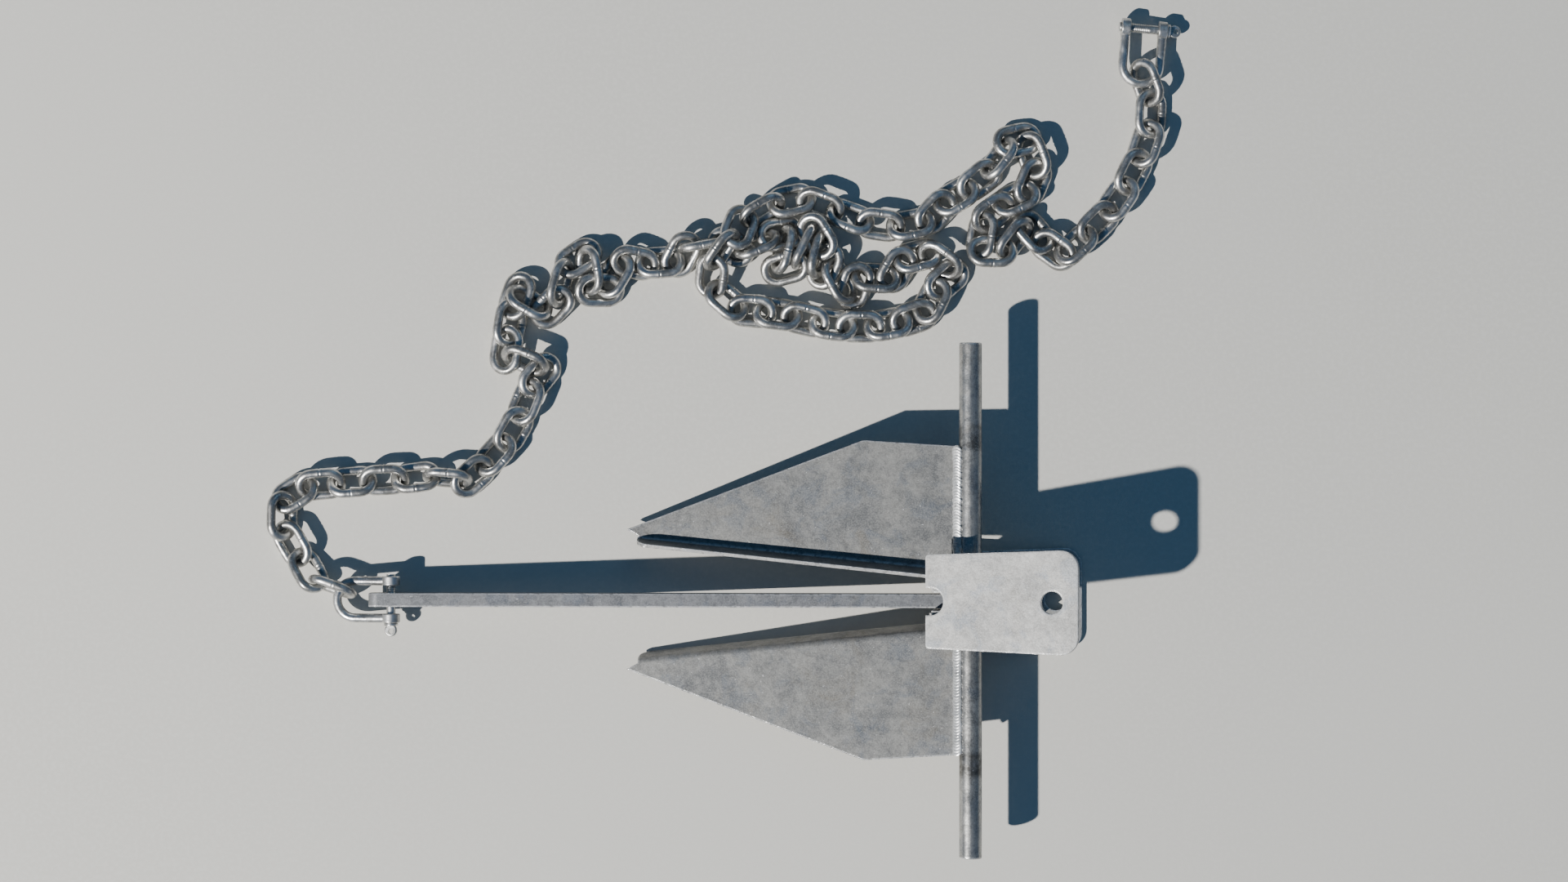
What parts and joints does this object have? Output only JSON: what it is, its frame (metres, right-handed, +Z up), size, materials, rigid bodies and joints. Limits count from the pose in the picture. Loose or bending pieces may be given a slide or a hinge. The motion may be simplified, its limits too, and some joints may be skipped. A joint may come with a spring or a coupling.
{
  "type": "boat anchor",
  "caption": "Fluke anchor of galvanised steel with a hinged crown, a round stock, D-shackles and a length of short-link chain.",
  "frame": {"origin": "on the ground, under the middle of the anchor without its shackles and chain", "axes": "+X from the shackle end of the shank to the crown, +Y to the port side along the stock, +Z up"},
  "size_m": [0.8112, 0.7432, 0.1215],
  "materials": {
    "fluke": "hot-dip galvanised, dull and mottled, with faint brown stains",
    "shank": "hot-dip galvanised, dull and mottled",
    "stock": "hot-dip galvanised, satin with runs and darker bands",
    "crown_plate": "hot-dip galvanised, lighter, matt and rough",
    "weld": "rippled weld beads under galvanising",
    "chain": "galvanised, satin bright",
    "shackle": "galvanised, satin bright"
  },
  "bodies": {
    "shank": {"shank": "shank", "chain_links_01_08": "chain", "chain_links_09_16": "chain", "chain_links_17_24": "chain", "chain_links_25_32": "chain", "chain_links_33_40": "chain", "chain_links_41_48": "chain", "chain_links_49_56": "chain", "chain_links_57_64": "chain", "chain_links_65_72": "chain", "chain_links_73_79": "chain"},
    "crown": {"stock_rod": "stock", "fluke_port": "fluke", "fluke_starboard": "fluke", "crown_plate_upper": "crown_plate", "crown_plate_lower": "crown_plate", "crown_cheek_port": "fluke", "crown_cheek_starboard": "fluke", "weld_crown_lower": "weld", "weld_crown_upper": "weld", "weld_fluke_port": "weld", "weld_fluke_starboard": "weld", "weld_stock_port": "weld", "weld_stock_starboard": "weld"},
    "anchor_shackle": {"anchor_shackle_bow": "shackle"},
    "anchor_shackle_pin": {"anchor_shackle_pin": "shackle"},
    "chain_link_80": {"chain_link_80": "chain"},
    "chain_link_81": {"chain_link_81": "chain"},
    "chain_link_82": {"chain_link_82": "chain"},
    "chain_link_83": {"chain_link_83": "chain"},
    "chain_link_84": {"chain_link_84": "chain"},
    "chain_link_85": {"chain_link_85": "chain"},
    "end_shackle": {"end_shackle_bow": "shackle"},
    "end_shackle_pin": {"end_shackle_pin": "shackle"}
  },
  "joints": [
    {"name": "crown_tilt", "type": "hinge", "parent": "shank", "child": "crown", "pos_m": [0.2123, 0, 0.05293], "axis": [0, 1, 0], "range_deg": [-25.86, 28.14]},
    {"name": "anchor_shackle_swing", "type": "hinge", "parent": "shank", "child": "anchor_shackle", "pos_m": [-0.29977, 0, 0.022], "axis": [0, 1, 0], "range_deg": [-2.5, 4]},
    {"name": "anchor_pin_turn", "type": "hinge", "parent": "anchor_shackle", "child": "anchor_shackle_pin", "pos_m": [-0.29977, 0, 0.022], "axis": [0, -1, 0], "range_deg": [0, 360]},
    {"name": "link_80_swing", "type": "hinge", "parent": "shank", "child": "chain_link_80", "pos_m": [0.31777, 0.32414, 0.01082], "axis": [0, 0, 1], "range_deg": [-7, 12]},
    {"name": "link_81_swing", "type": "hinge", "parent": "chain_link_80", "child": "chain_link_81", "pos_m": [0.33753, 0.34388, 0.00942], "axis": [0, 0, 1], "range_deg": [-6, 8]},
    {"name": "link_82_swing", "type": "hinge", "parent": "chain_link_81", "child": "chain_link_82", "pos_m": [0.3532, 0.36658, 0.00964], "axis": [0, 0, 1], "range_deg": [-7, 8]},
    {"name": "link_83_swing", "type": "hinge", "parent": "chain_link_82", "child": "chain_link_83", "pos_m": [0.36532, 0.39148, 0.00983], "axis": [0, 0, 1], "range_deg": [-7, 7]},
    {"name": "link_84_swing", "type": "hinge", "parent": "chain_link_83", "child": "chain_link_84", "pos_m": [0.3745, 0.41746, 0.00955], "axis": [0, 0, 1], "range_deg": [-7, 8]},
    {"name": "link_85_swing", "type": "hinge", "parent": "chain_link_84", "child": "chain_link_85", "pos_m": [0.37551, 0.44532, 0.0106], "axis": [0, 0, 1], "range_deg": [-6, 12]},
    {"name": "end_shackle_swing", "type": "hinge", "parent": "chain_link_85", "child": "end_shackle", "pos_m": [0.36383, 0.46684, 0.01224], "axis": [0, 0, 1], "range_deg": [-12, 12]},
    {"name": "end_pin_turn", "type": "hinge", "parent": "end_shackle", "child": "end_shackle_pin", "pos_m": [0.36826, 0.50637, 0.0101], "axis": [0.9931, -0.0947, -0.0694], "range_deg": [0, 360]}
  ]
}
